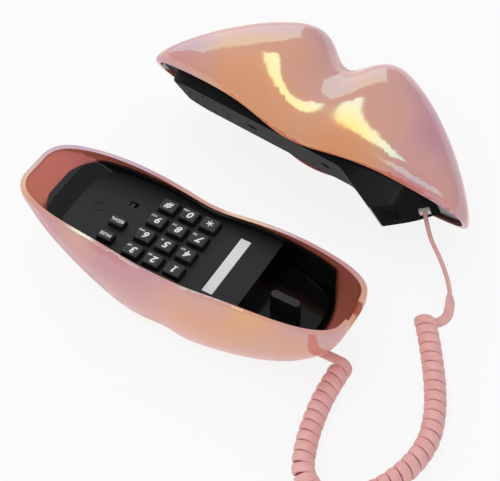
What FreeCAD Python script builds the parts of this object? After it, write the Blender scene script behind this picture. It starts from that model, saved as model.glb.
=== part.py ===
import FreeCAD
import Part
import Sketcher
import math
import os
import re

# A lips-shaped desk telephone lying off the hook. The lower lip is the base with its keys, the upper
# lip is the handset on the table behind it, and a curly cord joins them.
# X runs along the base to its cord end, Y goes away from the camera, Z is up, the table is Z = 0.

doc = FreeCAD.newDocument("lips_telephone")
sheet = doc.addObject("Spreadsheet::Sheet", "Sizes")

DIMENSIONS = [
    # lower lip
    ("half_length", 105), ("rim_half_width", 30.5), ("rim_power", 3.94),
    ("corner_height", 49.9), ("rim_dip", 6.9), ("rim_dip_width", 34),
    ("belly_half_width", 36.4), ("belly_power", 2.8), ("belly_level", 0.494), ("belly_curve", 0.62),
    ("lip_groove", 0.1), ("lip_groove_width", 13),
    ("keel_power", 1.41), ("keel_skew", 0.43), ("keel_sink", 8), ("tip_depth", 4),
    ("tip_share", 0.6), ("wall", 2.8), ("fit_gap", 0.3), ("bottom_level", 1.5), ("over", 1),
    # black faceplate
    ("deck_top", 38), ("deck_thick", 2), ("liner_top", 42.5), ("liner_thick", 1.6),
    ("deck_left", -89), ("deck_round", 33), ("liner_left_top", 44), ("liner_slope_x", -45),
    ("step_x", 41.7), ("step_wall", 2), ("floor_top", 21), ("floor_thick", 2),
    ("well_end", 87), ("well_round", 45),
    ("label_x", 24.5), ("label_wide", 6.5), ("label_long", 42.4), ("label_thick", 0.4), ("label_sunk", 0.6),
    ("disc_x", -60.6), ("disc_radius", 3.5), ("disc_line", 0.5), ("disc_sunk", 0.3),
    # cord notch in the tip of the lower lip
    ("notch_wide", 14), ("notch_deep", 12), ("notch_long", 15),
    # keys
    ("key_x", -11.5), ("key_pitch_x", 13.65), ("key_pitch_y", 12.5),
    ("key_long", 10.4), ("key_wide", 8.9), ("key_proud", 3.6), ("key_round", 1.0),
    ("key_gap", 0.35), ("key_lip", 0.9), ("key_lip_thick", 1.2),
    ("side_key_x", -44), ("redial_y", -5.6), ("pause_y", -17.5), ("side_key_long", 9.4),
    ("side_key_wide", 6.4),
    # board and mat
    ("board_left", -51), ("board_right", 17), ("board_half_wide", 25), ("board_top", 31.6),
    ("board_thick", 1.6),
    ("mat_right", 9.5), ("mat_thick", 1), ("dome_foot", 3.4), ("dome_head", 2.2),
    ("post_left_x", -34.8), ("post_right_x", 13), ("post_y", 20), ("post_radius", 2.6),
    ("small_screw_radius", 0.95), ("small_screw_long", 3.6), ("small_head_radius", 1.9),
    ("small_head_tall", 1.4),
    ("screw_play", 0.05),
    # selector
    ("slot_x", -44.1), ("slot_y", 11.25), ("slot_long", 5.2), ("slot_wide", 3.6),
    ("knob_long", 2.4), ("knob_top", 37.2), ("knob_travel", 2),
    ("switch_long", 8.8), ("switch_wide", 5.4), ("switch_tall", 3.4),
    # hook
    ("hook_x", 62.2), ("hook_half_long", 9.3), ("hook_radius", 2.75), ("hook_top", 34), ("hook_play", 0.4),
    ("hook_lip", 1.2), ("hook_lip_short", 2.5), ("hook_lip_thick", 1.5),
    ("spring_radius", 3), ("spring_wire", 0.6), ("spring_turns", 4), ("spring_foot", 10),
    ("spring_play", 0.15), ("spring_seat_radius", 4.5),
    ("hook_switch_x", 47.6), ("hook_switch_long", 7.2), ("hook_switch_wide", 8), ("hook_switch_tall", 8),
    ("blade_long", 5), ("blade_wide", 4), ("blade_thick", 0.4), ("blade_level", 11.9),
    # sounder, jacks, screws and foot of the base
    ("ringer_radius", 12), ("ringer_tall", 7),
    ("jack_x", 53), ("jack_long", 14), ("jack_tall", 10), ("jack_low", 8.9),
    ("base_jack_y", -10.5), ("base_jack_wide", 10), ("line_jack_y", 11.5), ("line_jack_wide", 12),
    ("jack_mouth_tall", 6.8), ("base_mouth_wide", 7.9), ("line_mouth_wide", 9.8), ("jack_mouth_deep", 10),
    ("cord_door_wide", 10.4), ("cord_door_low", 9.5), ("cord_door_tall", 8.5), ("cord_door_long", 36),
    ("screw_left_x", -58), ("screw_left_seat", 24), ("screw_left_top", 26.2), ("screw_left_low", 12),
    ("screw_right_x", 36), ("screw_right_y", 14), ("screw_right_seat", 5), ("screw_right_top", 8),
    ("boss_radius", 4), ("screw_radius", 1.5), ("screw_head_radius", 2.8), ("screw_head_tall", 2.2),
    ("screw_long", 11), ("screw_hole_radius", 1.8), ("screw_well_radius", 3.4),
    ("foot_half_long", 32), ("foot_radius", 19), ("foot_band", 4), ("foot_tall", 2.7), ("foot_play", 0.1),
    # upper lip
    ("lip_half_length", 109.8), ("lip_rim_half_width", 29.8), ("lip_rim_power", 2.91),
    ("lip_dip", 8), ("lip_dip_width", 32.8), ("lip_half_width", 35.1), ("lip_power", 3.04),
    ("lip_level", 0.213), ("lip_curve", 0.882), ("crest", 63), ("crest_blunt", 7.9), ("crest_power", 4),
    ("crest_least", 0.5),
    ("bow_dip", 20), ("bow_width", 18), ("bow_dent", 0.45),
    # handset body
    ("hull_left", -95), ("hull_right", 93), ("hull_half_width", 22.6), ("hull_draft", 4), ("hull_wall", 2),
    ("flange_top", 4), ("flange_thick", 2), ("under", 7.2), ("under_left", -88), ("hull_bevel", -2),
    ("block_start", 33), ("block_x", 61), ("block_deep", 13.3), ("block_blend", 14), ("block_round", 2.5),
    ("receiver_x", -67), ("receiver_radius", 15), ("receiver_tall", 6), ("magnet_radius", 9),
    ("magnet_tall", 3),
    ("ear_ring", 14), ("ear_holes", 12), ("ear_hole_radius", 1.1),
    ("slit_count", 6), ("slit_pitch", 3.6), ("slit_wide", 1.3), ("slit_long", 9), ("slit_at", 10),
    ("mic_radius", 4.8), ("mic_tall", 5), ("boot_radius", 6.6), ("boot_tall", 6.4),
    ("hand_jack_at", 29), ("hand_jack_tall", 8.8), ("hand_jack_long", 12),
    ("hand_screw_left", -35), ("hand_screw_right", 18), ("hand_screw_seat", -2), ("hand_boss_top", 70),
    ("hand_boss_hole", 14),
    # how the handset lies on the table
    ("lie_x", 13.5), ("lie_y", 110), ("lie_z", 31.53), ("lie_tip", 60.7), ("lie_yaw", -4), ("lie_roll", 2.1),
    # cord
    ("cord_radius", 1.5), ("coil_radius", 5), ("coil_pitch", 6.5), ("table_gap", 0.1),
    ("base_exit", 10), ("coil_entry", 9), ("hand_exit", 13), ("coil_exit", 9.5),
    ("plug_long", 11.5), ("plug_wide", 7.6), ("plug_tall", 6.4), ("plug_out", 2),
]
for row, (name, value) in enumerate(DIMENSIONS, start=1):
    sheet.set("A%d" % row, name)
    sheet.set("B%d" % row, str(value))
    sheet.setAlias("B%d" % row, name)
doc.recompute()


def size(name):
    return float(sheet.get(name))


def formula(text):
    return re.sub(r"[a-z][a-z_]*", lambda word: "Sizes." + word.group(0), text)


def vec(x, y, z):
    return FreeCAD.Vector(x, y, z)


def box(name, x_low, x_size, y_low, y_size, z_low, z_size):
    item = doc.addObject("Part::Box", name)
    item.setExpression("Length", formula(x_size))
    item.setExpression("Width", formula(y_size))
    item.setExpression("Height", formula(z_size))
    item.setExpression("Placement.Base.x", formula(x_low))
    item.setExpression("Placement.Base.y", formula(y_low))
    item.setExpression("Placement.Base.z", formula(z_low))
    return item


def cylinder(name, radius, x, y, z_low, z_size):
    item = doc.addObject("Part::Cylinder", name)
    item.setExpression("Radius", formula(radius))
    item.setExpression("Height", formula(z_size))
    item.setExpression("Placement.Base.x", formula(x))
    item.setExpression("Placement.Base.y", formula(y))
    item.setExpression("Placement.Base.z", formula(z_low))
    return item


def fuse(name, items):
    item = doc.addObject("Part::MultiFuse", name)
    item.Shapes = items
    return item


def common(name, items):
    item = doc.addObject("Part::MultiCommon", name)
    item.Shapes = items
    return item


def cut(name, base, tool):
    item = doc.addObject("Part::Cut", name)
    item.Base = base
    item.Tool = tool
    return item


def group(name, items):
    item = doc.addObject("Part::Compound", name)
    item.Links = items
    return item


def solid_feature(name, shape):
    item = doc.addObject("Part::Feature", name)
    item.Shape = shape
    return item


# Sketches of the PartDesign bodies: a centred rectangle and a centred round-ended slot.

def new_sketch(body, name):
    sketch = body.newObject("Sketcher::SketchObject", name)
    plane = [item for item in body.Origin.OriginFeatures if item.Role == "XY_Plane"][0]
    sketch.AttachmentSupport = [(plane, "")]
    sketch.MapMode = "FlatFace"
    return sketch


def rectangle(body, name, length, width):
    sketch = new_sketch(body, name)
    corners = [(-5, -4), (5, -4), (5, 4), (-5, 4)]
    for k in range(4):
        start = vec(corners[k][0], corners[k][1], 0)
        end = vec(corners[(k + 1) % 4][0], corners[(k + 1) % 4][1], 0)
        sketch.addGeometry(Part.LineSegment(start, end), False)
    for k in range(4):
        sketch.addConstraint(Sketcher.Constraint("Coincident", k, 2, (k + 1) % 4, 1))
    sketch.addConstraint(Sketcher.Constraint("Horizontal", 0))
    sketch.addConstraint(Sketcher.Constraint("Vertical", 1))
    sketch.addConstraint(Sketcher.Constraint("Horizontal", 2))
    sketch.addConstraint(Sketcher.Constraint("Vertical", 3))
    sketch.addConstraint(Sketcher.Constraint("Symmetric", 0, 1, 2, 1, -1, 1))
    long_side = sketch.addConstraint(Sketcher.Constraint("DistanceX", 0, 1, 0, 2, 10))
    short_side = sketch.addConstraint(Sketcher.Constraint("DistanceY", 1, 1, 1, 2, 8))
    sketch.setExpression("Constraints[%d]" % long_side, formula(length))
    sketch.setExpression("Constraints[%d]" % short_side, formula(width))
    return sketch


def round_slot(body, name, half_straight, radius):
    sketch = new_sketch(body, name)
    half = 6.0
    end_radius = 3.0
    quarter = math.pi / 2
    sketch.addGeometry(Part.LineSegment(vec(-half, -end_radius, 0), vec(half, -end_radius, 0)), False)
    right = Part.Circle(vec(half, 0, 0), vec(0, 0, 1), end_radius)
    sketch.addGeometry(Part.ArcOfCircle(right, -quarter, quarter), False)
    sketch.addGeometry(Part.LineSegment(vec(half, end_radius, 0), vec(-half, end_radius, 0)), False)
    left = Part.Circle(vec(-half, 0, 0), vec(0, 0, 1), end_radius)
    sketch.addGeometry(Part.ArcOfCircle(left, quarter, 3 * quarter), False)
    for k in range(4):
        sketch.addConstraint(Sketcher.Constraint("Tangent", k, 2, (k + 1) % 4, 1))
    sketch.addConstraint(Sketcher.Constraint("Equal", 1, 3))
    sketch.addConstraint(Sketcher.Constraint("Horizontal", 0))
    sketch.addConstraint(Sketcher.Constraint("Symmetric", 1, 3, 3, 3, -1, 1))
    span = sketch.addConstraint(Sketcher.Constraint("DistanceX", 3, 3, 1, 3, 2 * half))
    bend = sketch.addConstraint(Sketcher.Constraint("Radius", 1, end_radius))
    sketch.setExpression("Constraints[%d]" % span, formula("2 * (%s)" % half_straight))
    sketch.setExpression("Constraints[%d]" % bend, formula(radius))
    return sketch


def pad(body, sketch, length):
    item = body.newObject("PartDesign::Pad", sketch.Name + "_pad")
    item.Profile = sketch
    item.setExpression("Length", formula(length))
    sketch.Visibility = False
    body.Tip = item
    return item


def place(item, x, y, z):
    item.setExpression("Placement.Base.x", formula(x))
    item.setExpression("Placement.Base.y", formula(y))
    item.setExpression("Placement.Base.z", formula(z))


def slot_body(name, half_straight, radius, height, x, y, z):
    body = doc.addObject("PartDesign::Body", name)
    pad(body, round_slot(body, name + "_outline", half_straight, radius), height)
    place(body, x, y, z)
    return body


# Lip skins: closed cross-sections at stations along X, lofted. A larger inset gives the inner skin
# from the same formulas.

STATIONS = 25
STATION_SWEEP = 1.5
END_TRIM = 0.9995
RIM_STEPS = 4
BELLY_STEPS = 8
OPEN_RISE = 12
SEAM_SHARE = 0.1
LEAST = 1e-6


def bulge(part, power):
    return max(1 - abs(part) ** power, LEAST) ** (1 / power)


def bell(x, width):
    return math.exp(-((x / width) ** 2))


def stations(half):
    steps = [-1 + 2 * k / (STATIONS - 1) for k in range(STATIONS)]
    return [half * END_TRIM * math.sin(step * STATION_SWEEP) / math.sin(STATION_SWEEP) for step in steps]


def quarter_curve(rim, belly, foot, curve):
    points = []
    for k in range(RIM_STEPS):
        turn = math.pi / 2 * k / RIM_STEPS
        y = rim[0] + (belly[0] - rim[0]) * math.sin(turn)
        z = rim[1] + (belly[1] - rim[1]) * (1 - math.cos(turn))
        points.append((y, z))
    for k in range(BELLY_STEPS + 1):
        turn = math.pi / 2 * k / BELLY_STEPS
        y = belly[0] * max(math.cos(turn), 0) ** curve
        z = belly[1] + (foot[1] - belly[1]) * math.sin(turn) ** curve
        points.append((y if k < BELLY_STEPS else 0, z))
    return points


def section_wire(x, half_points, rise):
    half_points = [(half_points[0][0], half_points[0][1] + rise * SEAM_SHARE)] + half_points[1:]
    front = [vec(x, -y, z) for y, z in half_points]
    back = [vec(x, y, z) for y, z in half_points[-2::-1]]
    skin = Part.BSplineCurve()
    skin.interpolate(front + back)
    first = front[0]
    last = back[-1]
    edges = [skin.toShape()]
    if rise:
        up = vec(0, 0, rise)
        edges.append(Part.makeLine(last, last + up))
        edges.append(Part.makeLine(last + up, first + up))
        edges.append(Part.makeLine(first + up, first))
    else:
        edges.append(Part.makeLine(last, first))
    return Part.Wire(edges)


def base_half(x, inset):
    part = x / (size("half_length") - inset)
    rim = (size("rim_half_width") - inset) * bulge(part, size("rim_power"))
    groove = 1 - size("lip_groove") * bell(x, size("lip_groove_width"))
    belly = max((size("belly_half_width") - inset) * bulge(part, size("belly_power")) * groove, rim)
    rim_z = size("corner_height") - size("rim_dip") * bell(x, size("rim_dip_width"))
    power = size("keel_power") * (1 + size("keel_skew") * part)
    tip = size("tip_depth") * bulge(part, size("rim_power"))
    fall = (size("corner_height") + size("keel_sink") - size("tip_depth")) * bulge(part, power)
    keel_z = size("corner_height") - tip - fall + inset * bulge(part, size("rim_power"))
    keel_z = min(keel_z, rim_z - tip * size("tip_share"))
    belly_z = keel_z + (rim_z - keel_z) * size("belly_level")
    return quarter_curve((rim, rim_z), (belly, belly_z), (0, keel_z), size("belly_curve"))


def base_skin(inset, rise):
    half = size("half_length") - inset
    wires = [section_wire(x, base_half(x, inset), rise) for x in stations(half)]
    return Part.makeLoft(wires, True, False)


def lip_half(x, inset):
    part = x / (size("lip_half_length") - inset)
    rim = (size("lip_rim_half_width") - inset) * bulge(part, size("lip_rim_power"))
    belly = max((size("lip_half_width") - inset) * bulge(part, size("lip_power")), rim)
    rim_z = -size("lip_dip") * bell(x, size("lip_dip_width"))
    bow = bell(x, size("bow_width"))
    blunt = bulge(part, size("crest_power"))
    crest_z = size("crest") * (1 - part ** 2) + size("crest_blunt") * blunt - size("bow_dip") * bow
    crest_z = max(crest_z - inset * blunt, rim_z + size("crest_least"))
    belly_z = rim_z + (crest_z - rim_z) * size("lip_level")
    half = quarter_curve((rim, rim_z), (belly, belly_z), (0, crest_z), size("lip_curve"))
    shaped = []
    for y, z in half:
        height = max(z - belly_z, 0) / max(crest_z - belly_z, LEAST)
        shaped.append((y * (1 - size("bow_dent") * bow * height ** 2), z))
    return shaped


def lip_skin(inset, rise):
    half = size("lip_half_length") - inset
    beside_bow = size("bow_width") / 4
    places = sorted(stations(half) + [-beside_bow, beside_bow])
    wires = [section_wire(x, lip_half(x, inset), rise) for x in places]
    return Part.makeLoft(wires, True, False)


WIDE = "6 * belly_half_width"
WIDE_LOW = "-3 * belly_half_width"

# Lower lip shell: a glossy hollow boat with a flat bottom, a cord notch in the tip, doors for the two
# jacks, three screw pads, the spring's seat and a groove for the rubber foot.

base_outer_skin = solid_feature("base_outer_skin", base_skin(0, 0))
base_inner_skin = solid_feature("base_inner_skin", base_skin(size("wall"), OPEN_RISE))
above_bottom = box("above_bottom", "-2 * half_length", "4 * half_length", WIDE_LOW, WIDE, "bottom_level",
                   "2 * corner_height")
above_inside = box("above_inside", "-2 * half_length", "4 * half_length", WIDE_LOW, WIDE,
                   "bottom_level + wall", "2 * corner_height")
base_outer = common("base_outer", [base_outer_skin, above_bottom])
base_hollow = common("base_hollow", [base_inner_skin, above_inside])
base_bowl = cut("base_bowl", base_outer, base_hollow)

BASE_SCREWS = [
    ("left", "screw_left_x", "0", "screw_left_seat", "screw_left_top", "screw_left_low"),
    ("front", "screw_right_x", "-screw_right_y", "screw_right_seat", "screw_right_top", "bottom_level"),
    ("back", "screw_right_x", "screw_right_y", "screw_right_seat", "screw_right_top", "bottom_level"),
]
pads = []
screw_wells = []
for side, x, y, seat, top, low in BASE_SCREWS:
    pads.append(cylinder("screw_pad_" + side, "boss_radius + wall / 4", x, y, low, "%s - (%s)" % (top, low)))
    screw_wells.append(cylinder("screw_well_" + side, "screw_well_radius", x, y, "-over", "%s + over" % seat))
    screw_wells.append(cylinder("screw_way_" + side, "screw_hole_radius", x, y, "-over",
                                "%s + 2 * over" % top))
seat_low = "bottom_level + wall"
pads.append(cylinder("spring_seat", "spring_seat_radius", "hook_x", "0", seat_low,
                     "spring_foot - (%s)" % seat_low))
inner_pads = common("inner_pads", [fuse("all_pads", pads), base_outer])
door_y = "base_jack_y - cord_door_wide / 2"
base_door = box("base_door", "jack_x + jack_long / 2", "cord_door_long", door_y, "cord_door_wide",
                "cord_door_low", "cord_door_tall")
door_y = "line_jack_y - line_jack_wide / 2"
line_door = box("line_door", "jack_x + jack_long / 2", "cord_door_long", door_y, "line_jack_wide",
                "cord_door_low", "cord_door_tall")
notch = box("notch", "half_length - notch_long", "2 * notch_long", "-notch_wide / 2", "notch_wide",
            "corner_height - notch_deep", "3 * notch_deep")
foot_low = slot_body("foot_groove_outer", "foot_half_long - foot_radius", "foot_radius + foot_play",
                     "foot_tall + foot_play", "0", "0", "0")
foot_core = slot_body("foot_groove_inner", "foot_half_long - foot_radius",
                      "foot_radius - foot_band - foot_play",
                      "2 * foot_tall", "0", "0", "0")
foot_groove = cut("foot_groove", foot_low, foot_core)
shell_tools = fuse("shell_tools", screw_wells + [base_door, line_door, notch, foot_groove])
base_shell = cut("base_shell", fuse("base_with_pads", [base_bowl, inner_pads]), shell_tools)

# Rubber ring the base stands on, pressed into the groove of its bottom.

foot_outer = slot_body("foot_outer", "foot_half_long - foot_radius", "foot_radius", "foot_tall", "0", "0",
                       "0")
foot_inner = slot_body("foot_inner", "foot_half_long - foot_radius", "foot_radius - foot_band", "foot_tall",
                       "0", "0", "0")
rubber_foot = cut("rubber_foot", foot_outer, foot_inner)

# Screws that hold the faceplate's bosses down to the shell, heads up inside their wells.

base_screw_items = []
for side, x, y, seat, top, low in BASE_SCREWS:
    head = cylinder("base_screw_head_" + side, "screw_head_radius", x, y, "%s - screw_head_tall" % seat,
                    "screw_head_tall")
    shank = cylinder("base_screw_shank_" + side, "screw_radius", x, y, seat, "screw_long")
    base_screw_items.append(fuse("base_screw_" + side, [head, shank]))
base_screws = group("base_screws", base_screw_items)

# Black faceplate: key deck, step, well floor and a low liner, all following the inside of the shell.

liner_skin = solid_feature("liner_skin", base_skin(size("wall") + size("fit_gap"), OPEN_RISE))
liner_space = solid_feature(
    "liner_space", base_skin(size("wall") + size("fit_gap") + size("liner_thick"), OPEN_RISE))
floor_low = "floor_top - floor_thick"
deck_end = size("step_x") + size("step_wall")
deck_base = size("deck_top") - size("deck_thick")
deck_side = Part.Face(Part.makePolygon([
    vec(size("deck_left"), 0, deck_base), vec(deck_end, 0, deck_base), vec(deck_end, 0, size("liner_top")),
    vec(size("liner_slope_x"), 0, size("liner_top")), vec(size("deck_left"), 0, size("liner_left_top")),
    vec(size("deck_left"), 0, deck_base),
]))
deck_slab = solid_feature("deck_slab", deck_side.extrude(vec(0, 6 * size("belly_half_width"), 0)))
deck_slab.Placement = FreeCAD.Placement(vec(0, -3 * size("belly_half_width"), 0), FreeCAD.Rotation())
deck_plan = slot_body("deck_plan", "-deck_left", "deck_round", "2 * corner_height", "deck_round", "0", "0")
deck_zone = common("deck_zone", [deck_slab, deck_plan])
well_block = box("well_block", "step_x", "well_end - step_x", WIDE_LOW, WIDE,
                 floor_low, "liner_top - (%s)" % floor_low)
well_curve = cylinder("well_curve", "well_round", "well_end - well_round", "0", "0", "2 * corner_height")
well_zone = common("well_zone", [well_block, well_curve])
plate_body = common("plate_body", [liner_skin, fuse("plate_zone", [deck_zone, well_zone])])
deck_space = box("deck_space", "-half_length", "half_length + step_x + step_wall", WIDE_LOW, WIDE,
                 "deck_top", "corner_height")
well_space = box("well_space", "step_x + step_wall", "well_end", WIDE_LOW, WIDE, "floor_top", "corner_height")
plate_space = common("plate_space", [liner_space, fuse("open_zone", [deck_space, well_space])])
plate_tray = cut("plate_tray", plate_body, plate_space)

bosses = []
boss_holes = []
for side, x, y, seat, top, low in BASE_SCREWS:
    boss_low = "%s + fit_gap" % top
    bosses.append(cylinder("boss_" + side, "boss_radius", x, y, boss_low,
                           "deck_top - deck_thick / 2 - (%s)" % boss_low))
    boss_holes.append(cylinder("boss_hole_" + side, "screw_radius + screw_play", x, y, "0",
                               "%s + screw_long + over" % seat))
BOARD_POSTS = [
    ("left_front", "post_left_x", "-post_y"), ("left_back", "post_left_x", "post_y"),
    ("right_front", "post_right_x", "-post_y"), ("right_back", "post_right_x", "post_y"),
]
for side, x, y in BOARD_POSTS:
    bosses.append(cylinder("post_" + side, "post_radius", x, y, "board_top",
                           "deck_top - deck_thick / 2 - board_top"))
    boss_holes.append(cylinder("post_hole_" + side, "small_screw_radius + screw_play", x, y,
                               "board_top - over", "small_screw_long"))

COLUMNS = {-1: "key_x - key_pitch_x", 0: "key_x", 1: "key_x + key_pitch_x"}
ROWS = {1: "-1.5 * key_pitch_y", 2: "-0.5 * key_pitch_y", 3: "0.5 * key_pitch_y", 4: "1.5 * key_pitch_y"}
KEYS = [
    ("key_1", COLUMNS[1], ROWS[1]), ("key_2", COLUMNS[0], ROWS[1]), ("key_3", COLUMNS[-1], ROWS[1]),
    ("key_4", COLUMNS[1], ROWS[2]), ("key_5", COLUMNS[0], ROWS[2]), ("key_6", COLUMNS[-1], ROWS[2]),
    ("key_7", COLUMNS[1], ROWS[3]), ("key_8", COLUMNS[0], ROWS[3]), ("key_9", COLUMNS[-1], ROWS[3]),
    ("key_star", COLUMNS[1], ROWS[4]), ("key_0", COLUMNS[0], ROWS[4]), ("key_hash", COLUMNS[-1], ROWS[4]),
    ("key_redial", "side_key_x", "redial_y"), ("key_pause", "side_key_x", "pause_y"),
]


def key_sizes(name):
    if name in ("key_redial", "key_pause"):
        return "side_key_long", "side_key_wide"
    return "key_long", "key_wide"


plate_holes = []
for name, x, y in KEYS:
    length, width = key_sizes(name)
    plate_holes.append(box(name + "_hole", "%s - %s / 2 - key_gap" % (x, length), "%s + 2 * key_gap" % length,
                           "%s - %s / 2 - key_gap" % (y, width), "%s + 2 * key_gap" % width,
                           "deck_top - 2 * deck_thick", "4 * deck_thick"))
plate_holes.append(box("selector_hole", "slot_x - slot_long / 2", "slot_long", "slot_y - slot_wide / 2",
                       "slot_wide",
                       "deck_top - 2 * deck_thick", "4 * deck_thick"))
plate_holes.append(box("label_recess", "label_x - label_wide / 2 - key_gap", "label_wide + 2 * key_gap",
                       "-label_long / 2 - key_gap", "label_long + 2 * key_gap",
                       "deck_top - label_sunk", "4 * label_sunk"))
disc_outer = cylinder("disc_outer", "disc_radius", "disc_x", "0", "deck_top - disc_sunk", "2 * disc_sunk")
disc_inner = cylinder("disc_inner", "disc_radius - disc_line", "disc_x", "0", "deck_top - 2 * disc_sunk",
                      "4 * disc_sunk")
plate_holes.append(cut("disc_groove", disc_outer, disc_inner))
plate_holes.append(slot_body("hook_hole", "hook_half_long - hook_radius", "hook_radius + hook_play",
                             "3 * floor_thick", "hook_x", "0", "floor_top - 2 * floor_thick"))
faceplate = cut("faceplate", fuse("plate_with_bosses", [plate_tray] + bosses),
                fuse("plate_tools", plate_holes + boss_holes))

label_card = box("label_card", "label_x - label_wide / 2", "label_wide", "-label_long / 2", "label_long",
                 "deck_top - label_sunk", "label_thick")

# Keys: a tapered cap through the deck with a lip that stops it under the deck.

NEAR = 0.01
key_foot = "deck_top - deck_thick - fit_gap - key_lip_thick"
key_bodies = []
for name, x, y in KEYS:
    length, width = key_sizes(name)
    body = doc.addObject("PartDesign::Body", name)
    pad(body, rectangle(body, name + "_lip", "%s + 2 * key_lip" % length, "%s + 2 * key_lip" % width),
        "key_lip_thick")
    cap = pad(body, rectangle(body, name + "_cap", length, width), "deck_top + key_proud - (%s)" % key_foot)
    place(body, x, y, key_foot)
    doc.recompute()
    cap_top = max(vertex.Z for vertex in cap.Shape.Vertexes)
    edges = []
    for number, edge in enumerate(cap.Shape.Edges, start=1):
        heights = [vertex.Z for vertex in edge.Vertexes]
        tall = max(heights) - min(heights) > size("key_proud")
        if max(heights) > cap_top - NEAR and (tall or min(heights) > cap_top - NEAR):
            edges.append("Edge%d" % number)
    rounding = body.newObject("PartDesign::Fillet", name + "_round")
    rounding.Base = (cap, edges)
    rounding.setExpression("Radius", formula("key_round"))
    body.Tip = rounding
    key_bodies.append(body)

# Rubber mat with a dome under each key, and the board it lies on with its screws.

dome_top = "%s - fit_gap" % key_foot
mat_sheet = box("mat_sheet", "board_left + key_lip", "mat_right - board_left - key_lip",
                "-board_half_wide + key_lip",
                "2 * (board_half_wide - key_lip)", "board_top", "mat_thick")
domes = [mat_sheet]
for name, x, y in KEYS:
    dome = doc.addObject("Part::Cone", name + "_dome")
    dome.setExpression("Radius1", formula("dome_foot"))
    dome.setExpression("Radius2", formula("dome_head"))
    dome.setExpression("Height", formula("%s - (board_top + mat_thick / 2)" % dome_top))
    place(dome, x, y, "board_top + mat_thick / 2")
    domes.append(dome)
mat_cuts = [cylinder("mat_hole_front", "post_radius + key_gap", "post_left_x", "-post_y",
                     "board_top - over", "4 * mat_thick"),
            cylinder("mat_hole_back", "post_radius + key_gap", "post_left_x", "post_y",
                     "board_top - over", "4 * mat_thick"),
            box("mat_window", "slot_x - switch_long / 2 - key_gap", "switch_long + 2 * key_gap",
                "slot_y - switch_wide / 2 - key_gap", "switch_wide + 2 * key_gap", "board_top - over",
                "4 * mat_thick")]
keypad_mat = cut("keypad_mat", fuse("mat_domes", domes), fuse("mat_openings", mat_cuts))

board_sheet = box("board_sheet", "board_left", "board_right - board_left", "-board_half_wide",
                  "2 * board_half_wide",
                  "board_top - board_thick", "board_thick")
board_holes = []
board_screw_items = []
for side, x, y in BOARD_POSTS:
    board_holes.append(cylinder("board_hole_" + side, "small_screw_radius + 2 * screw_play", x, y,
                                "board_top - 2 * board_thick", "4 * board_thick"))
    under_board = "board_top - board_thick"
    head = cylinder("board_screw_head_" + side, "small_head_radius", x, y,
                    "%s - small_head_tall" % under_board, "small_head_tall")
    shank = cylinder("board_screw_shank_" + side, "small_screw_radius", x, y, under_board, "small_screw_long")
    board_screw_items.append(fuse("board_screw_" + side, [head, shank]))
main_board = cut("main_board", board_sheet, fuse("board_drill", board_holes))
board_screws = group("board_screws", board_screw_items)

# Selector: a small knob sliding in the slot of a switch on the board.

switch_block = box("switch_block", "slot_x - switch_long / 2", "switch_long", "slot_y - switch_wide / 2",
                   "switch_wide",
                   "board_top", "switch_tall")
stem_wide = "slot_wide / 3"
switch_track = box("switch_track", "slot_x - slot_long / 2", "slot_long", "slot_y - slot_wide / 4",
                   "slot_wide / 2",
                   "board_top + switch_tall / 3", "switch_tall")
selector_switch = cut("selector_switch", switch_block, switch_track)
knob_low = "slot_x - (knob_travel + knob_long) / 2"
knob = box("knob", knob_low, "knob_long", "slot_y - slot_wide / 2 + key_gap", "slot_wide - 2 * key_gap",
           "board_top + switch_tall + fit_gap", "knob_top - board_top - switch_tall - fit_gap")
knob_stem = box("knob_stem", knob_low, "knob_long", "slot_y - slot_wide / 6", stem_wide,
                "board_top + switch_tall / 2", "knob_top - board_top - switch_tall / 2 - over")
selector_lever = fuse("selector_lever", [knob, knob_stem])

# Hook: a round-ended plunger through the well floor, its return spring and the leaf switch beside it.

lip_low = "%s - fit_gap - hook_lip_thick" % floor_low
hook_body = doc.addObject("PartDesign::Body", "hook_plunger")
pad(hook_body, round_slot(hook_body, "hook_lip_outline", "hook_half_long - hook_radius - hook_lip_short",
                          "hook_radius + hook_lip"),
    "hook_lip_thick")
hook_pad = pad(hook_body, round_slot(hook_body, "hook_post_outline", "hook_half_long - hook_radius",
                                     "hook_radius"),
               "hook_top - (%s)" % lip_low)
place(hook_body, "hook_x", "0", lip_low)
doc.recompute()
hook_edges = []
for number, edge in enumerate(hook_pad.Shape.Edges, start=1):
    if edge.BoundBox.ZMin > hook_pad.Shape.BoundBox.ZMax - NEAR:
        hook_edges.append("Edge%d" % number)
hook_round = hook_body.newObject("PartDesign::Fillet", "hook_round")
hook_round.Base = (hook_pad, hook_edges)
hook_round.setExpression("Radius", formula("key_round"))
hook_body.Tip = hook_round

hook_switch_block = box("hook_switch_block", "hook_switch_x - hook_switch_long / 2", "hook_switch_long",
                        "-hook_switch_wide / 2", "hook_switch_wide", "%s - hook_switch_tall" % floor_low,
                        "hook_switch_tall")
hook_blade = box("hook_blade", "hook_switch_x", "hook_switch_long / 2 + blade_long", "-blade_wide / 2",
                 "blade_wide",
                 "blade_level", "blade_thick")
hook_switch = fuse("hook_switch", [hook_switch_block, hook_blade])

# Sounder capsule on the floor of the base, and the two sockets beside the hook.

ringer = cylinder("ringer", "ringer_radius", "0", "0", "bottom_level + wall", "ringer_tall")


def socket(name, y, wide, mouth_wide):
    low_x = "jack_x - jack_long / 2"
    block = box(name + "_block", low_x, "jack_long", "%s - %s / 2" % (y, wide), wide, "jack_low", "jack_tall")
    mouth = box(name + "_mouth", "jack_x + jack_long / 2 - jack_mouth_deep", "2 * jack_mouth_deep",
                "%s - %s / 2" % (y, mouth_wide), mouth_wide,
                "jack_low + (jack_tall - jack_mouth_tall) / 2", "jack_mouth_tall")
    return cut(name, block, mouth)


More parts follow.
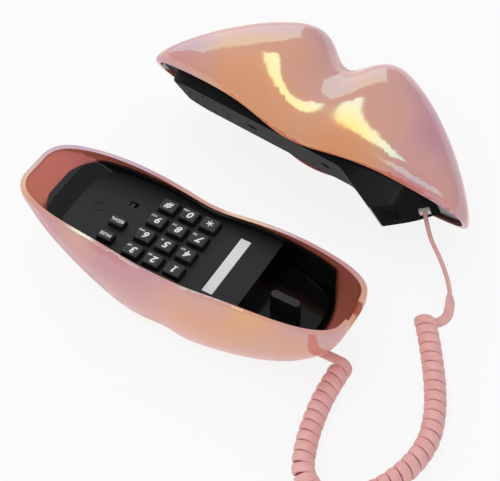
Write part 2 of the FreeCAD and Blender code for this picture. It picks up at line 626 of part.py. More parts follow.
base_jack = socket("base_jack", "base_jack_y", "base_jack_wide", "base_mouth_wide")
line_jack = socket("line_jack", "line_jack_y", "line_jack_wide", "line_mouth_wide")

# Upper lip shell, in its own frame: the corners of the mouth are at Z = 0, the lip rises along +Z.

lip_outer = solid_feature("lip_outer", lip_skin(0, 0))
lip_inner = solid_feature("lip_inner", lip_skin(size("wall"), -OPEN_RISE))
HAND_SCREWS = [("left", "hand_screw_left"), ("right", "hand_screw_right")]
lip_bosses = []
lip_boss_holes = []
for side, x in HAND_SCREWS:
    lip_bosses.append(cylinder("lip_boss_" + side, "boss_radius", x, "0", "flange_top + fit_gap",
                               "hand_boss_top"))
    lip_boss_holes.append(cylinder("lip_boss_hole_" + side, "screw_radius + screw_play", x, "0", "0",
                                   "flange_top + hand_boss_hole"))
lip_bowl = cut("lip_bowl", lip_outer, lip_inner)
lip_pillars = common("lip_pillars", [fuse("lip_boss_pair", lip_bosses), lip_outer])
handset_shell = cut("handset_shell", fuse("lip_with_bosses", [lip_bowl, lip_pillars]),
                    fuse("lip_drill", lip_boss_holes))

# Handset body: a black hull under the lip with a flat earpiece side and a deeper mouthpiece block.

HULL_RISE = 30
HULL_OPEN = 20
PAST_FACE = 3
face_angle = math.atan2(size("under") + size("block_deep") + size("flange_top"),
                        size("hull_right") - size("block_x"))
along_face = vec(math.cos(face_angle), 0, math.sin(face_angle))
out_of_face = vec(math.sin(face_angle), 0, -math.cos(face_angle))
block_corner = vec(size("block_x"), 0, -size("under") - size("block_deep"))


def hull_solid(inset, top):
    corners = [
        (size("hull_left"), top), (size("hull_left"), size("hull_bevel")),
        (size("under_left"), -size("under")),
        (size("block_start"), -size("under")), (size("block_x"), -size("under") - size("block_deep")),
        (size("hull_right"), size("flange_top")), (size("hull_right"), top),
    ]
    outline = Part.makePolygon([vec(x, 0, z) for x, z in corners + corners[:1]])
    if top <= size("flange_top"):
        outline = Part.makePolygon([vec(x, 0, z) for x, z in corners[:-1] + corners[:1]])
    side = Part.Face(outline)
    deep = 2 * size("belly_half_width")
    profile = side.extrude(vec(0, 2 * deep, 0))
    profile.translate(vec(0, -deep, 0))
    bends = []
    for edge in profile.Edges:
        middle = edge.CenterOfMass
        if abs(edge.BoundBox.YLength - 2 * deep) < NEAR:
            if abs(middle.x - size("block_start")) < NEAR:
                profile = profile.makeFillet(size("block_blend"), [edge])
                break
    for edge in profile.Edges:
        if abs(edge.BoundBox.YLength - 2 * deep) < NEAR:
            if abs(edge.CenterOfMass.x - size("block_x")) < NEAR:
                bends.append(edge)
            if abs(edge.CenterOfMass.x - size("under_left")) < NEAR:
                bends.append(edge)
    profile = profile.makeFillet(size("block_round"), bends)
    return profile.common(tapered_slot(inset))


# Plan of the hull: round ends and straight sides, leaning outward as they rise
def tapered_slot(inset):
    lean = math.tan(math.radians(size("hull_draft")))
    low = -size("under") - size("block_deep") - size("over")
    high = size("flange_top") + HULL_RISE
    wide_low = size("hull_half_width") + lean * (low + size("under")) - inset
    wide_high = wide_low + lean * (high - low)
    rim = size("hull_half_width") + lean * (size("flange_top") + size("under"))
    left = size("hull_left") + rim
    right = size("hull_right") - rim
    ends = [Part.makeCone(wide_low, wide_high, high - low, vec(x, 0, low)) for x in (left, right)]
    corners = [(-wide_low, low), (wide_low, low), (wide_high, high), (-wide_high, high)]
    outline = Part.makePolygon([vec(left, y, z) for y, z in corners + corners[:1]])
    middle = Part.Face(outline).extrude(vec(right - left, 0, 0))
    return middle.multiFuse(ends).removeSplitter()


def hull_inside():
    wall = size("hull_wall")
    inner = hull_solid(wall, size("flange_top") + HULL_OPEN)
    lifted = inner.copy()
    lifted.translate(vec(0, 0, wall))
    slid = inner.copy()
    slid.translate(out_of_face * (-wall))
    pushed = inner.copy()
    pushed.translate(vec(wall, 0, wall / 2))
    return lifted.common(slid).common(pushed)


hull_outer = solid_feature("hull_outer", hull_solid(0, size("flange_top")))
hull_hollow = solid_feature("hull_hollow", hull_inside())
lip_fit = solid_feature("lip_fit", lip_skin(size("wall") + size("fit_gap"), -OPEN_RISE))
flange_halves = []
for side, y in (("front", WIDE_LOW), ("back", "0")):
    flange_slab = box("flange_slab_" + side, "-2 * half_length", "4 * half_length", y, WIDE + " / 2",
                      "flange_top - flange_thick", "flange_thick")
    flange_halves.append(common("flange_" + side, [lip_fit, flange_slab]))
hull_cup = cut("hull_cup", fuse("hull_with_flange", [hull_outer] + flange_halves), hull_hollow)
hull_tubes = []
hull_tools = []
for side, x in HAND_SCREWS:
    hull_tubes.append(cylinder("hull_tube_" + side, "boss_radius + hull_wall / 4", x, "0", "-under",
                               "under + flange_top"))
    hull_tools.append(cylinder("hull_well_" + side, "screw_well_radius", x, "0", "-2 * under",
                               "2 * under + hand_screw_seat"))
    hull_tools.append(cylinder("hull_way_" + side, "screw_hole_radius", x, "0", "-2 * under", "4 * under"))
for k in range(int(size("ear_holes"))):
    turn = 360.0 * k / size("ear_holes")
    hole = cylinder("ear_hole_%d" % k, "ear_hole_radius", "receiver_x", "0", "-2 * under",
                    "under + 2 * hull_wall")
    hole.setExpression("Placement.Base.x", "Sizes.receiver_x + Sizes.ear_ring * cos(%.1f deg)" % turn)
    hole.setExpression("Placement.Base.y", "Sizes.ear_ring * sin(%.1f deg)" % turn)
    hull_tools.append(hole)

lean_turn = FreeCAD.Rotation(vec(0, 1, 0), -math.degrees(face_angle))


def face_box(name, at, y_mid, y_size, along, inward, outward):
    item = doc.addObject("Part::Box", name)
    item.Length = along
    item.Width = y_size
    item.Height = inward + outward
    corner = block_corner + along_face * (at - along / 2) + out_of_face * outward
    item.Placement = FreeCAD.Placement(corner + vec(0, y_mid - y_size / 2, 0), lean_turn)
    return item


for k in range(int(size("slit_count"))):
    middle = (k - (size("slit_count") - 1) / 2) * size("slit_pitch")
    hull_tools.append(face_box("mic_slit_%d" % k, size("slit_at"), middle, size("slit_wide"),
                               size("slit_long"),
                               1.5 * size("hull_wall"), PAST_FACE))
mouth_wide = size("plug_wide") + 2 * size("fit_gap")
mouth_tall = size("plug_tall") + 2 * size("fit_gap")
hull_tools.append(face_box("hand_jack_door", size("hand_jack_at"), 0, mouth_wide, mouth_tall,
                           3 * size("hull_wall"), PAST_FACE))
handset_body = cut("handset_body", fuse("hull_with_tubes", [hull_cup] + hull_tubes),
                   fuse("hull_drill", hull_tools))

# Inside the handset: receiver over the ear holes, microphone in its boot behind the slits, cord socket.

receiver_low = "-under + hull_wall + fit_gap / 3"
receiver_cup = cylinder("receiver_cup", "receiver_radius", "receiver_x", "0", receiver_low, "receiver_tall")
receiver_magnet = cylinder("receiver_magnet", "magnet_radius", "receiver_x", "0", receiver_low,
                           "receiver_tall + magnet_tall")
receiver = fuse("receiver", [receiver_cup, receiver_magnet])
inner_face = size("hull_wall") + size("fit_gap") / 3


def face_cylinder(name, radius, start, tall):
    item = doc.addObject("Part::Cylinder", name)
    item.Radius = radius
    item.Height = tall
    corner = block_corner + along_face * size("slit_at") - out_of_face * start
    item.Placement = FreeCAD.Placement(corner, lean_turn)
    return item


boot_outer = face_cylinder("boot_outer", size("boot_radius"), inner_face, size("boot_tall"))
boot_bore = face_cylinder("boot_bore", size("mic_radius") + size("screw_play"), inner_face - size("over"),
                          size("boot_tall") + 2 * size("over"))
mic_boot = cut("mic_boot", boot_outer, boot_bore)
microphone = face_cylinder("microphone", size("mic_radius"), inner_face, size("mic_tall"))
hand_jack_block = face_box("hand_jack_block", size("hand_jack_at"), 0, size("base_jack_wide"),
                           size("hand_jack_tall"),
                           inner_face + size("hand_jack_long"), -inner_face)
hand_jack_mouth = face_box("hand_jack_mouth", size("hand_jack_at"), 0, mouth_wide, mouth_tall,
                           inner_face + size("jack_mouth_deep"), PAST_FACE)
handset_jack = cut("handset_jack", hand_jack_block, hand_jack_mouth)
hand_screw_items = []
for side, x in HAND_SCREWS:
    head = cylinder("hand_screw_head_" + side, "screw_head_radius", x, "0",
                    "hand_screw_seat - screw_head_tall", "screw_head_tall")
    shank = cylinder("hand_screw_shank_" + side, "screw_radius", x, "0", "hand_screw_seat",
                     "screw_long + hull_wall")
    hand_screw_items.append(fuse("hand_screw_" + side, [head, shank]))
handset_screws = group("handset_screws", hand_screw_items)
handset_plug = face_box("handset_plug", size("hand_jack_at"), 0, size("plug_wide"), size("plug_tall"),
                        size("plug_long") - size("plug_out"), size("plug_out"))

lie = FreeCAD.Rotation(vec(0, 0, 1), size("lie_yaw"))
lie = lie * FreeCAD.Rotation(vec(0, 1, 0), size("lie_roll"))
lie = lie * FreeCAD.Rotation(vec(1, 0, 0), -size("lie_tip"))
lying = FreeCAD.Placement(vec(size("lie_x"), size("lie_y"), size("lie_z")), lie)
for item in (handset_shell, handset_body, receiver, microphone, mic_boot, handset_jack, handset_screws,
             handset_plug):
    item.Placement = lying.multiply(item.Placement)

base_plug = box("base_plug", "jack_x + jack_long / 2 + plug_out - plug_long", "plug_long",
                "base_jack_y - plug_wide / 2", "plug_wide", "jack_low + (jack_tall - plug_tall) / 2",
                "plug_tall")

# Tubes: cord leads with rounded bends, the coil and the spring as turns of short arcs.

def arc_from(start, heading, end):
    chord = end - start
    span = chord.Length
    line = chord * (1 / span)
    bend = math.acos(max(-1, min(1, heading.dot(line))))
    aside = heading - line * heading.dot(line)
    if aside.Length < LEAST:
        return Part.makeLine(start, end)
    aside.normalize()
    middle = start + chord * 0.5 + aside * (span / 2 * math.tan(bend / 2))
    return Part.Arc(start, middle, end).toShape()


def two_arcs(start, heading, end, arrival):
    gap = end - start
    both = heading + arrival
    twist = 2 * (1 - heading.dot(arrival))
    reach = gap.dot(both)
    length = gap.Length / 2
    if twist > LEAST:
        length = (-reach + math.sqrt(reach ** 2 + twist * gap.dot(gap))) / twist
    meet = (start + heading * length + end - arrival * length) * 0.5
    first = arc_from(start, heading, meet)
    turned = (end - arrival * length) - (start + heading * length)
    turned.normalize()
    return [first, arc_from(meet, turned, end)]


def tube(edges, radius, start, heading):
    path = Part.Wire(edges)
    ring = Part.Wire([Part.Circle(start, heading, radius).toShape()])
    return path.makePipeShell([ring], True, False)


BEND_SHARE = 0.45


def lead(name, points):
    edges = []
    here = points[0]
    for k in range(1, len(points) - 1):
        back = points[k - 1] - points[k]
        ahead = points[k + 1] - points[k]
        shorter = min(back.Length, ahead.Length)
        back.normalize()
        ahead.normalize()
        reach = BEND_SHARE * shorter
        half_turn = (math.pi - math.acos(max(-1, min(1, back.dot(ahead))))) / 2
        bend = reach / math.tan(half_turn)
        print(name, "bend", k, "radius", round(bend, 1), "turn", round(math.degrees(2 * half_turn)))
        start = points[k] + back * reach
        edges.append(Part.makeLine(here, start))
        here = points[k] + ahead * reach
        edges.append(arc_from(start, back * -1, here))
    edges.append(Part.makeLine(here, points[-1]))
    heading = points[1] - points[0]
    heading.normalize()
    length = sum(edge.Length for edge in edges)
    shape = tube(edges, size("cord_radius"), points[0], heading)
    share = shape.Volume / (math.pi * size("cord_radius") ** 2 * length)
    print(name, "length", round(length, 1), "volume share", round(share, 4))
    return solid_feature(name, shape)


table_z = size("cord_radius") + size("table_gap")
coil_z = table_z + size("coil_radius")
COIL_ROUTE = [
    (127, 45), (133, 37), (141, 25), (151, 9), (160, -9), (165, -28), (162, -50), (152, -71),
    (134, -85), (117, -79), (109, -60), (104.5, -40), (102.5, -23), (102.5, -7.5),
]


def route_curve(points):
    curve = Part.BSplineCurve()
    spans = len(points) - 2
    knots = [k / spans for k in range(spans + 1)]
    repeats = [3] + [1] * (spans - 1) + [3]
    curve.buildFromPolesMultsKnots([vec(x, y, coil_z) for x, y in points], repeats, knots, False, 2)
    return curve


def coil_tube(name):
    route = route_curve(COIL_ROUTE)
    length = route.length()
    turns = round(length / size("coil_pitch")) + 0.5
    quarters = round(4 * turns)
    pitch = length / turns
    points = []
    headings = []
    for k in range(quarters + 1):
        along = length * k / quarters
        spot = route.parameterAtDistance(along, route.FirstParameter)
        centre = route.value(spot)
        run = route.tangent(spot)[0]
        side = vec(-run.y, run.x, 0)
        turn = -math.pi / 2 - k * math.pi / 2
        out = side * math.cos(turn) + vec(0, 0, math.sin(turn))
        around = (side * math.sin(turn) - vec(0, 0, math.cos(turn))) * size("coil_radius")
        way = around + run * (pitch / (2 * math.pi))
        way.normalize()
        points.append(centre + out * size("coil_radius"))
        headings.append(way)
    run = route.tangent(route.FirstParameter)[0]
    headings[0] = vec(run.y, -run.x, 0)
    run = route.tangent(route.LastParameter)[0]
    headings[-1] = vec(-run.y, run.x, 0)
    tail = 2 * size("cord_radius")
    edges = [Part.makeLine(points[0] - headings[0] * tail, points[0])]
    for k in range(quarters):
        edges += two_arcs(points[k], headings[k], points[k + 1], headings[k + 1])
    edges.append(Part.makeLine(points[-1], points[-1] + headings[-1] * tail))
    shape = tube(edges, size("cord_radius"), points[0] - headings[0] * tail, headings[0])
    whole = sum(edge.Length for edge in edges)
    near = min((points[k] - points[k + 4]).Length for k in range(quarters - 3)) - 2 * size("cord_radius")
    print(name, "turns", turns, "pitch", round(pitch, 2), "tube length", round(whole, 1), "least gap",
          round(near, 2),
          "volume share", round(shape.Volume / (math.pi * size("cord_radius") ** 2 * whole), 4))
    return solid_feature(name, shape), points[0] - headings[0] * tail, points[-1] + headings[-1] * tail


def spring_tube(name):
    low = size("spring_foot") + size("spring_wire") / 2 + size("spring_play")
    lip_under = size("floor_top") - size("floor_thick") - size("fit_gap") - size("hook_lip_thick")
    high = lip_under - size("fit_gap") - size("spring_wire") / 2
    turns = int(size("spring_turns"))
    quarters = 4 * turns
    rise = (high - low) / quarters
    points = []
    headings = []
    for k in range(quarters + 1):
        turn = k * math.pi / 2
        points.append(vec(size("hook_x") + size("spring_radius") * math.cos(turn),
                          size("spring_radius") * math.sin(turn), low + rise * k))
        way = vec(-size("spring_radius") * math.sin(turn), size("spring_radius") * math.cos(turn),
                  rise * 2 / math.pi)
        way.normalize()
        headings.append(way)
    edges = []
    for k in range(quarters):
        edges += two_arcs(points[k], headings[k], points[k + 1], headings[k + 1])
    return solid_feature(name, tube(edges, size("spring_wire") / 2, points[0], headings[0]))


hook_spring = spring_tube("hook_spring")
coil, coil_start, coil_end = coil_tube("coil")

plug_face = vec(size("jack_x") + size("jack_long") / 2 + size("plug_out"), size("base_jack_y"),
                size("jack_low") + size("jack_tall") / 2)
base_lead = lead("base_lead", [
    plug_face, plug_face + vec(size("base_exit"), 0, 0), vec(81, -9, 11.9),
    coil_end - vec(size("coil_entry"), 0, 0), coil_end,
])
hand_out = lying.multVec(block_corner + along_face * size("hand_jack_at") + out_of_face * size("plug_out"))
hand_way = lie.multVec(out_of_face)
coil_aside = vec(0.8, 0.6, 0)
handset_lead = lead("handset_lead", [
    hand_out, hand_out + hand_way * size("hand_exit"), vec(118, 84, 12), vec(127.5, 76.5, 4),
    vec(134, 65.5, table_z),
    coil_start + coil_aside * size("coil_exit"), coil_start + coil_aside * size("fit_gap"),
])

# Every node is checked and written to its own file.

doc.recompute()
NODES = [base_shell, faceplate] + key_bodies + [
    keypad_mat, main_board, board_screws, hook_body, hook_spring, hook_switch, selector_lever,
    selector_switch,
    label_card, ringer, line_jack, base_jack, rubber_foot, base_screws, handset_shell, handset_body, receiver,
    microphone, mic_boot, handset_jack, handset_screws, base_plug, base_lead, coil, handset_lead,
    handset_plug,
]
os.makedirs("parts", exist_ok=True)
for item in doc.Objects:
    if "Invalid" in item.State or "Error" in item.State:
        raise ValueError("not built: " + item.Name)
for item in NODES:
    shape = item.Shape
    if shape.isNull() or not shape.isValid():
        raise ValueError("bad shape: " + item.Name)
    print(item.Name, "solids", len(shape.Solids), "volume", round(shape.Volume, 1))
    shape.exportStep("parts/%s.step" % item.Name)
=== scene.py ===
import bmesh
import bpy
import math
import numpy as np
from mathutils import Matrix, Quaternion, Vector


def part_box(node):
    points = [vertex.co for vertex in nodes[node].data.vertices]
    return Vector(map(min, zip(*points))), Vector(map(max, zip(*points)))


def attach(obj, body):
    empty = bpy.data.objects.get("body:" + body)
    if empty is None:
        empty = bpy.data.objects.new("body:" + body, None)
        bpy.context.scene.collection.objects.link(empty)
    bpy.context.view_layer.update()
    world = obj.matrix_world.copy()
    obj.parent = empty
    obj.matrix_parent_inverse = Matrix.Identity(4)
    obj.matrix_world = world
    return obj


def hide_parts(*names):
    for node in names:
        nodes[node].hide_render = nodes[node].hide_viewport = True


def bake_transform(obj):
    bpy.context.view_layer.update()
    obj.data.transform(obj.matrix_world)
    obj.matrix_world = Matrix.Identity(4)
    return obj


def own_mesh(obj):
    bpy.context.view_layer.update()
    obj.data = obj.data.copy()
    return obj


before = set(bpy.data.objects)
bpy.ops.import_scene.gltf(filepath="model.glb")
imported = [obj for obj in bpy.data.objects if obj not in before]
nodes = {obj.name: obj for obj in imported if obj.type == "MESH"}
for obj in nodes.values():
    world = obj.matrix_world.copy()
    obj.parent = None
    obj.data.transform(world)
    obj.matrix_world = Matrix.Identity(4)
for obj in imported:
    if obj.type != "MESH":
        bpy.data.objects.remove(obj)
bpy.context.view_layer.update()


# Camera: looks down on the table from the front right, about two thirds of a metre above it, with a long lens.
# Its place comes from the grid of the keys in the photograph.
MM = 0.001
scene = bpy.context.scene
eye = Vector((287.9, -419.6, 656.2)) * MM
aim = Vector((27.45, 20.18, 40.80)) * MM
camera = bpy.data.objects.new("camera", bpy.data.cameras.new("camera"))
camera.data.lens = 103.3
camera.data.sensor_width = 36.0
camera.data.clip_start = 0.05
camera.location = eye
camera.rotation_euler = (aim - eye).to_track_quat("-Z", "Y").to_euler()
scene.collection.objects.link(camera)
scene.camera = camera


# Curly cord: a flat flex in dusty pink plastic, wound in a long coil between two straight leads.
# One lead is plugged into the base, the other into the end face of the handset.
BASE_LEAD = [(62, -10.5, 13.9), (72, -10.5, 13.9), (81, -9, 11.9), (90.5, -7.5, 11.6), (99.5, -7.5, 11.6)]
COIL_ROUTE = [
    (102.5, -7.5, 6.6), (102.5, -23, 6.6), (104.5, -40, 6.6), (109, -60, 6.6), (117, -79, 6.6),
    (134, -85, 6.6), (152, -71, 6.6), (162, -50, 6.6), (165, -28, 6.6), (160, -9, 6.6),
    (151, 9, 6.6), (141, 25, 6.6), (133, 37, 6.6), (127, 45, 6.6),
]
HAND_LEAD = [
    (129.4, 46.8, 1.6), (137, 52.5, 1.6), (134, 65.5, 1.6), (127.5, 76.5, 4), (118, 84, 12),
    (105.2, 90.7, 20.9), (98.1, 100.2, 26.2),
]
COIL_FINENESS = 24
LEAD_FINENESS = 16
COIL_TURNS = 37.5
COIL_RADIUS = 5.0 * MM
TURN_STEPS = 24
LEAD_STEPS = 60
BAND_WIDE = 5.9 * MM
BAND_THICK = 2.4 * MM
BAND_RING = 14
EDGE_ON = Vector((0.33, -0.55, 0.77))   # the way the handset's lead is turned once it has left the coil
TWIST_SHARE = 0.3


def route_line(points, fineness):
    curve = bpy.data.curves.new("route", "CURVE")
    curve.dimensions = "3D"
    curve.resolution_u = fineness
    spline = curve.splines.new("NURBS")
    spline.points.add(len(points) - 1)
    for point, place in zip(spline.points, points):
        point.co = (place[0] * MM, place[1] * MM, place[2] * MM, 1)
    spline.order_u = 3
    spline.use_endpoint_u = True
    holder = bpy.data.objects.new("route", curve)
    scene.collection.objects.link(holder)
    bpy.context.view_layer.update()
    line = bpy.data.meshes.new_from_object(holder)
    dots = [vertex.co.copy() for vertex in line.vertices]
    bpy.data.objects.remove(holder)
    bpy.data.curves.remove(curve)
    bpy.data.meshes.remove(line)
    return dots


def even_line(dots, count):
    reach = [0.0]
    for before, after in zip(dots, dots[1:]):
        reach.append(reach[-1] + (after - before).length)
    spread = []
    k = 0
    for step in range(count + 1):
        goal = reach[-1] * step / count
        while k < len(dots) - 2 and reach[k + 1] < goal:
            k += 1
        share = (goal - reach[k]) / max(reach[k + 1] - reach[k], 1e-9)
        spread.append(dots[k].lerp(dots[k + 1], share))
    return spread


def heading(dots, k):
    return (dots[min(k + 1, len(dots) - 1)] - dots[max(k - 1, 0)]).normalized()


def square_to(wide, way):
    return (wide - way * wide.dot(way)).normalized()


def carried(dots, wide):
    found = []
    for k in range(len(dots)):
        wide = square_to(wide, heading(dots, k))
        found.append(wide)
    return found


def flattened(value, power):
    return math.copysign(abs(value) ** power, value)


axis = even_line(route_line(COIL_ROUTE, COIL_FINENESS), round(COIL_TURNS * TURN_STEPS))
coil_dots = []
coil_wide = []
for k, centre in enumerate(axis):
    run = heading(axis, k)
    side = Vector((-run.y, run.x, 0))
    turn = math.pi / 2 - 2 * math.pi * k / TURN_STEPS
    coil_dots.append(centre + (side * math.cos(turn) + Vector((0, 0, math.sin(turn)))) * COIL_RADIUS)
    coil_wide.append(run)
base_dots = even_line(route_line(BASE_LEAD, LEAD_FINENESS), LEAD_STEPS)
base_wide = carried(base_dots[::-1], coil_wide[0])[::-1]
hand_dots = even_line(route_line(HAND_LEAD, LEAD_FINENESS), LEAD_STEPS)
hand_wide = carried(hand_dots, coil_wide[-1])
for k, dot in enumerate(hand_dots):
    # The band turns edge-on as it leaves the coil, and lies flatter where it would dip into the table.
    way = heading(hand_dots, k)
    twist = min(1.0, k / (TWIST_SHARE * len(hand_dots)))
    wide = square_to(hand_wide[k].lerp(EDGE_ON, twist * twist * (3 - 2 * twist)), way)
    side = Vector((-way.y, way.x, 0)).normalized()
    steepest = min(1.0, 2 * (dot.z - BAND_THICK / 2) / (BAND_WIDE - BAND_THICK))
    lift = min(steepest, wide.dot(way.cross(side)))
    hand_wide[k] = side * math.sqrt(1 - lift * lift) + way.cross(side) * lift
cord_dots = base_dots + coil_dots + hand_dots
cord_wide = base_wide + coil_wide + hand_wide
vertices = []
faces = []
for k, dot in enumerate(cord_dots):
    way = heading(cord_dots, k)
    wide = square_to(cord_wide[k], way)
    thick = way.cross(wide)
    for step in range(BAND_RING):
        angle = 2 * math.pi * step / BAND_RING
        across = flattened(math.cos(angle), 0.7) * BAND_WIDE / 2
        over = flattened(math.sin(angle), 0.8) * BAND_THICK / 2
        vertices.append(dot + wide * across + thick * over)
for k in range(len(cord_dots) - 1):
    here = k * BAND_RING
    there = here + BAND_RING
    for step in range(BAND_RING):
        after = (step + 1) % BAND_RING
        faces.append((here + step, here + after, there + after, there + step))
faces.append(tuple(range(BAND_RING))[::-1])
last = (len(cord_dots) - 1) * BAND_RING
faces.append(tuple(range(last, last + BAND_RING)))
cord_mesh = bpy.data.meshes.new("curly_cord")
cord_mesh.from_pydata(vertices, [], faces)
cord_mesh.update()
for polygon in cord_mesh.polygons:
    polygon.use_smooth = True
curly_cord = bpy.data.objects.new("curly_cord", cord_mesh)
scene.collection.objects.link(curly_cord)


def tree_step(tree, kind, values=(), links=(), **settings):
    step = tree.nodes.new(kind)
    for setting, value in settings.items():
        setattr(step, setting, value)
    for socket, value in dict(values).items():
        step.inputs[socket].default_value = value
    for socket, source in links:
        tree.links.new(source, step.inputs[socket])
    return step


def new_material(name, base, roughness, metallic=0.0):
    material = bpy.data.materials.new(name)
    material.use_nodes = True
    shader = material.node_tree.nodes["Principled BSDF"]
    shader.inputs["Base Color"].default_value = (*base, 1)
    shader.inputs["Roughness"].default_value = roughness
    shader.inputs["Metallic"].default_value = metallic
    return material, material.node_tree, shader


BUMP_DEEP = 0.0002
grain = bpy.data.node_groups.new("moulded_grain", "ShaderNodeTree")
for socket_name, usual in (("Scale", 600.0), ("Low", 0.3), ("High", 0.5)):
    made = grain.interface.new_socket(socket_name, in_out="INPUT", socket_type="NodeSocketFloat")
    made.default_value = usual
for socket_name in ("Roughness", "Height"):
    grain.interface.new_socket(socket_name, in_out="OUTPUT", socket_type="NodeSocketFloat")
grain_in = grain.nodes.new("NodeGroupInput")
grain_out = grain.nodes.new("NodeGroupOutput")
grain_place = grain.nodes.new("ShaderNodeTexCoord")
grain_noise = tree_step(grain, "ShaderNodeTexNoise", {"Detail": 3.0},
                        [("Vector", grain_place.outputs["Object"]), ("Scale", grain_in.outputs["Scale"])])
grain_range = tree_step(grain, "ShaderNodeMapRange", {"From Min": 0.3, "From Max": 0.7},
                        [("Value", grain_noise.outputs["Fac"]), ("To Min", grain_in.outputs["Low"]),
                         ("To Max", grain_in.outputs["High"])])
grain.links.new(grain_range.outputs["Result"], grain_out.inputs["Roughness"])
grain.links.new(grain_noise.outputs["Fac"], grain_out.inputs["Height"])


def add_grain(tree, shader, scale, low, high, bump):
    use = tree_step(tree, "ShaderNodeGroup", {"Scale": scale, "Low": low, "High": high}, node_tree=grain)
    tree.links.new(use.outputs["Roughness"], shader.inputs["Roughness"])
    if bump:
        raised = tree_step(tree, "ShaderNodeBump", {"Strength": bump, "Distance": BUMP_DEEP},
                           [("Height", use.outputs["Height"])])
        tree.links.new(raised.outputs["Normal"], shader.inputs["Normal"])


cord_paint, cord_tree, cord_shader = new_material("cord_skin", (0.62, 0.27, 0.26), 0.5)
cord_place = cord_tree.nodes.new("ShaderNodeTexCoord")
cord_noise = tree_step(cord_tree, "ShaderNodeTexNoise", {"Scale": 140.0, "Detail": 3.0},
                       [("Vector", cord_place.outputs["Object"])])
cord_ramp = tree_step(cord_tree, "ShaderNodeValToRGB", (), [("Fac", cord_noise.outputs["Fac"])])
cord_tints = ((0.3, (0.84, 0.43, 0.41, 1)), (0.7, (0.92, 0.52, 0.49, 1)))
for stop, (where, tint) in zip(cord_ramp.color_ramp.elements, cord_tints):
    stop.position = where
    stop.color = tint
cord_tree.links.new(cord_ramp.outputs["Color"], cord_shader.inputs["Base Color"])
add_grain(cord_tree, cord_shader, 900.0, 0.42, 0.6, 0.15)
cord_mesh.materials.append(cord_paint)
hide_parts("base_lead", "coil", "handset_lead")
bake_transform(curly_cord)


# Two lip shells: moulded plastic under a pearl pink mirror-like coat, whose thin film shifts from salmon to gold
# and lilac. Each is one hollow shell, screwed to the black part inside it. The base's inner walls are painted
# a darker red-brown under a thinner film: painted shade.
FILM_IOR = 2.1
FILM_THIN = 166.0
FILM_THICK = 210.0
# The base shell's inner walls get a thinner film and a darker red-brown colour, both painted shade.
FILM_INSIDE = 120.0
PAINTED_SHADE_INSIDE = (0.55, 0.16, 0.11, 1)
# Base colours of the coat: which one a point gets is mottled at random and also follows the way the surface faces,
# a painted sheen.
PEARL_AND_SHEEN_TINTS = (
    (0.0, (0.84, 0.29, 0.26, 1)), (0.3, (0.90, 0.32, 0.31, 1)), (0.45, (0.90, 0.29, 0.25, 1)),
    (0.62, (0.90, 0.24, 0.17, 1)), (0.82, (0.84, 0.28, 0.22, 1)), (1.0, (0.82, 0.29, 0.24, 1)),
)
WELD = 2e-6
LONGEST_EDGE = 2.5 * MM
CUT_ROUNDS = 6
CORNER = math.radians(35)
EVENING_ROUNDS = 70
SAME_WALL = 0.97   # neighbours that face more apart than this cosine aren't evened with each other


def pearl_paint(name, inside_painted_shade):
    paint, tree, shader = new_material(name, (0.85, 0.26, 0.22), 0.1)
    shader.inputs["Thin Film IOR"].default_value = FILM_IOR
    place = tree.nodes.new("ShaderNodeTexCoord")
    cloud = tree_step(tree, "ShaderNodeTexNoise", {"Scale": 16.0, "Detail": 1.0},
                      [("Vector", place.outputs["Object"])])
    # The tint follows random mottling and the way the surface faces; the part set by facing is a painted sheen.
    turned = tree_step(tree, "ShaderNodeSeparateXYZ", (), [("Vector", place.outputs["Normal"])])
    mottle_and_sheen = tree_step(tree, "ShaderNodeMath", {1: 0.5},
                      [(0, cloud.outputs["Fac"]), (2, turned.outputs["Z"])], operation="MULTIPLY_ADD")
    spread = tree_step(tree, "ShaderNodeMapRange", {"From Min": -0.8, "From Max": 1.3},
                       [("Value", mottle_and_sheen.outputs["Value"])])
    tints = tree_step(tree, "ShaderNodeValToRGB", (), [("Fac", spread.outputs["Result"])])
    stops = tints.color_ramp.elements
    stops[0].color = PEARL_AND_SHEEN_TINTS[0][1]
    stops[1].color = PEARL_AND_SHEEN_TINTS[-1][1]
    for where, tint in PEARL_AND_SHEEN_TINTS[1:-1]:
        stops.new(where).color = tint
    film = tree_step(tree, "ShaderNodeMapRange",
                     {"From Min": 0.3, "From Max": 0.7, "To Min": FILM_THIN, "To Max": FILM_THICK},
                     [("Value", cloud.outputs["Fac"])])
    add_grain(tree, shader, 60.0, 0.07, 0.12, 0.0)
    tint = tints.outputs["Color"]
    depth = film.outputs["Result"]
    if inside_painted_shade:
        # A wall that faces the middle of the shell is an inner wall, and gets a darker red-brown colour and a
        # thinner film as painted shade.
        flat = tree_step(tree, "ShaderNodeVectorMath", {1: (0.3, 1.0, 0.0)},
                         [(0, place.outputs["Object"])], operation="MULTIPLY")
        facing = tree_step(tree, "ShaderNodeVectorMath", (),
                           [(0, flat.outputs["Vector"]), (1, place.outputs["Normal"])],
                           operation="DOT_PRODUCT")
        inward = tree_step(tree, "ShaderNodeMapRange", {"From Min": -0.001, "From Max": -0.006},
                           [("Value", facing.outputs["Value"])])
        inside_shade = tree_step(tree, "ShaderNodeMix", {7: PAINTED_SHADE_INSIDE},
                         [("Factor", inward.outputs["Result"]), (6, tint)], data_type="RGBA")
        thinned = tree_step(tree, "ShaderNodeMix", {"B": FILM_INSIDE},
                            [("Factor", inward.outputs["Result"]), ("A", depth)])
        tint = inside_shade.outputs[2]
        depth = thinned.outputs["Result"]
    tree.links.new(tint, shader.inputs["Base Color"])
    tree.links.new(depth, shader.inputs["Thin Film Thickness"])
    return paint


